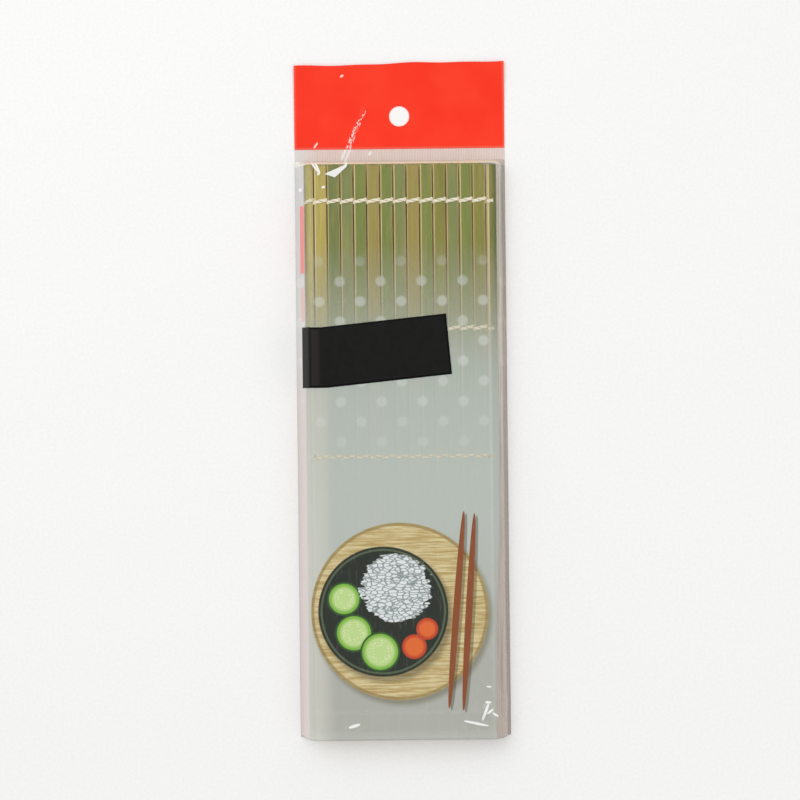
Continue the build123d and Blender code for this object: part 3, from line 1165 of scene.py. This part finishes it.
header_red, tree, shader = new_material("header_print", roughness=0.35)
x, y = plan_place(tree)
noise = surface_noise(tree, 0.06)
sparkle = step(surface_noise(tree, 1.4, stretch=(0.6, 1.4, 1)), 0.5, 0.58)
colour = blend(step(noise, 0.3, 0.7), "#FF3B20", "#FC3217")
base_edge = step(y, *(header_low.y / MM + past for past in HEADER_BASE_EDGE))
colour = blend(base_edge, colour, "#F2604F")
side_edge = step(calc("ABSOLUTE", x), *HEADER_SIDE_EDGE, 0.0, 0.3)
colour = blend(side_edge, colour, "#FF8672")
for glint in HEADER_GLINTS:
    colour = blend(times(stroke(tree, *glint), sparkle), colour, "#FFEDE8")
for glint in THIN_GLINTS:
    colour = blend(stroke(tree, *glint), colour, "#FFD9CF")
fill(shader, {"Base Color": colour, "Specular IOR Level": 0.18})

header_grid = (110, 46, header_rule, HEADER_WALL)
header = laid_sheet("red_header", *header_grid, "header_film", header_red)
deselect()
bpy.ops.mesh.primitive_cylinder_add(
    vertices=64, radius=hole["dims"]["r_mm"] * MM, depth=PUNCH_LENGTH * MM, location=hole["pos_m"]
)
punch = bpy.context.object
cut = header.modifiers.new("hang hole", "BOOLEAN")
cut.object = punch
cut.operation = "DIFFERENCE"
apply_modifiers(header)
bpy.data.objects.remove(punch)
bpy.ops.object.shade_smooth_by_angle(angle=math.radians(40))
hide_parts("header")
print("header faces:", len(header.data.polygons))

# %% [markdown]
# The label is a strip of dark adhesive film stuck on the front film, a little askew. It follows
# the front film's own shape, a hair above it and column by column, and its left end is folded round
# the bag's side. Its border is a shade darker, as where a print stops short.

# %% Label
LABEL_LEFT = -42.0
LABEL_TOP = [(LABEL_LEFT, 30.7), (-34.4, 30.5), (18.9, 35.8)]
LABEL_BOTTOM = [(LABEL_LEFT, 4.9), (-31.8, 4.9), (21.2, 10.2)]
LABEL_BORDER = 1.0
LABEL_WALL = 0.06
LABEL_LIFT = 0.12
FOLD_LEFT = (-38.9, -37.8)
FOLD_RIGHT = (-34.0, -36.0)
film_shares = np.linspace(0, 1, FILM_COLUMNS + 1)
# The label's columns lie on the film's own, and only its right half is stretched to the slant end
label_first = round(np.interp(LABEL_LEFT, profile[:, 0], film_shares) * FILM_COLUMNS)
label_last = round(np.interp(LABEL_TOP[-1][0], profile[:, 0], film_shares) * FILM_COLUMNS)


def label_edge(points, x):
    return np.interp(x, *np.transpose(points))


def label_end(v):
    return LABEL_BOTTOM[-1][0] + (LABEL_TOP[-1][0] - LABEL_BOTTOM[-1][0]) * v


def label_rule(u, v):
    end = np.interp(label_end(v), profile[:, 0], film_shares)
    across = (label_first + (label_last - label_first) * u) / FILM_COLUMNS
    across += (end - label_last / FILM_COLUMNS) * np.clip(2 * u - 1, 0, 1)
    x = np.interp(across, film_shares, profile[:, 0])
    y = label_edge(LABEL_BOTTOM, x) + v * (label_edge(LABEL_TOP, x) - label_edge(LABEL_BOTTOM, x))
    x_out, z_out = film_place(across, y, 1.0, LABEL_LIFT)
    return x_out, y, z_out


label_finish, tree, shader = new_material("dark_label", roughness=0.42)
x, _ = plan_place(tree)
noise = surface_noise(tree, 0.3, 4.0)
fine = surface_noise(tree, 4.0)
colour = blend(step(noise, 0.35, 0.7), "#181817", "#141413")
# A painted reflection lightens the label where it bends round the bag's side
fold_reflection = times(step(x, *FOLD_LEFT), step(x, *FOLD_RIGHT))
colour = blend(times(fold_reflection, 0.7), colour, "#2C2A28")
from_edge = add_node(tree, "Attribute", attribute_name="from_edge").outputs["Fac"]
border = step(from_edge, LABEL_BORDER, LABEL_BORDER - 0.25)
colour = blend(border, colour, "#040404")
fill(shader, {"Base Color": colour, "Specular IOR Level": 0.1})
bump(shader, fine, 0.1, 0.05)

label_grid = (label_last - label_first, 30, label_rule, LABEL_WALL)
label = laid_sheet("dark_label", *label_grid, "label_film", label_finish)
x, y = points_of(label)[:, :2].T / MM
up_label = (y - LABEL_BOTTOM[-1][1]) / (LABEL_TOP[-1][1] - LABEL_BOTTOM[-1][1])
above_below = [label_edge(LABEL_TOP, x) - y, y - label_edge(LABEL_BOTTOM, x)]
edges = [*above_below, label_end(up_label) - x, x - LABEL_LEFT]
attribute = label.data.attributes.new("from_edge", "FLOAT", "POINT")
attribute.data.foreach_set("value", np.minimum.reduce(edges))
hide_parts("label")

# %% [markdown]
# When the mat is opened out, the flat film no longer has a mat under it to hold it up. Here the front film and the
# label each get a mesh of their own.

# %% Own meshes for the film and label
for piece in (front_film, label):
    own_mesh(piece)

# %% [markdown]
# The floor is a large plane of nearly white paper. The light is that of a light tent: a bright,
# even surround, and two large lamps that give the ribs and creases a soft direction. Together they
# light a flat surface so that a colour looks as it is written.

# %% Floor
FLOOR_SIZE = 4.0
deselect()
bpy.ops.mesh.primitive_plane_add(size=FLOOR_SIZE, location=(0, 0, 0))
floor = bpy.context.object
floor.name = floor.data.name = "floor"
floor_white, tree, shader = new_material("floor_paper", roughness=0.95)
grain = surface_noise(tree, 0.8, 3.0)
colour = blend(step(grain, 0.3, 0.7), "#FDFDFC", "#F9F9F8")
fill(shader, {"Base Color": colour, "Specular IOR Level": 0.1})
floor.data.materials.append(floor_white)
floor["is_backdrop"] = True

# %% Light
SURROUND_STRENGTH = 0.62
LAMPS = [
    ("key", (-0.55, 0.65, 1.1), 1.0, 6.6),
    ("fill", (0.8, -0.3, 1.0), 1.2, 3.2),
]
scene = bpy.context.scene
world = bpy.data.worlds.new("light_tent")
scene.world = world
world.use_nodes = True
background = world.node_tree.nodes["Background"]
fill(background, {"Color": "#FFFFFF", "Strength": SURROUND_STRENGTH})
for name, spot, size, watts in LAMPS:
    lamp = bpy.data.lights.new(name, "AREA")
    lamp.size = size
    lamp.energy = watts
    stand = bpy.data.objects.new(name, lamp)
    stand.location = spot
    stand.rotation_euler = (-Vector(spot)).to_track_quat("-Z", "Y").to_euler()
    scene.collection.objects.link(stand)

# %% [markdown]
# The camera looks straight down, as the bag was photographed, with a long lens and from nearly a
# metre above the film. A small roll makes the bag lean the way it does there.

# %% Camera
LENS = 100.0
SENSOR = 36.0
FRAME_WIDTH = 338.4
VIEW_MIDDLE = (-0.95, -0.59)
ROLL = 0.63
view = bpy.data.cameras.new("camera")
view.lens = LENS
view.sensor_width = SENSOR
view.dof.use_dof = False
camera = bpy.data.objects.new("camera", view)
distance = FRAME_WIDTH * LENS / SENSOR
camera.location = [v * MM for v in (*VIEW_MIDDLE, distance + FILM_TOP)]
camera.rotation_euler = (0, 0, -math.radians(ROLL))
scene.collection.objects.link(camera)
scene.camera = camera
scene.view_settings.view_transform = "Standard"

# %% Bounds of the finished model
low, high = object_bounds()
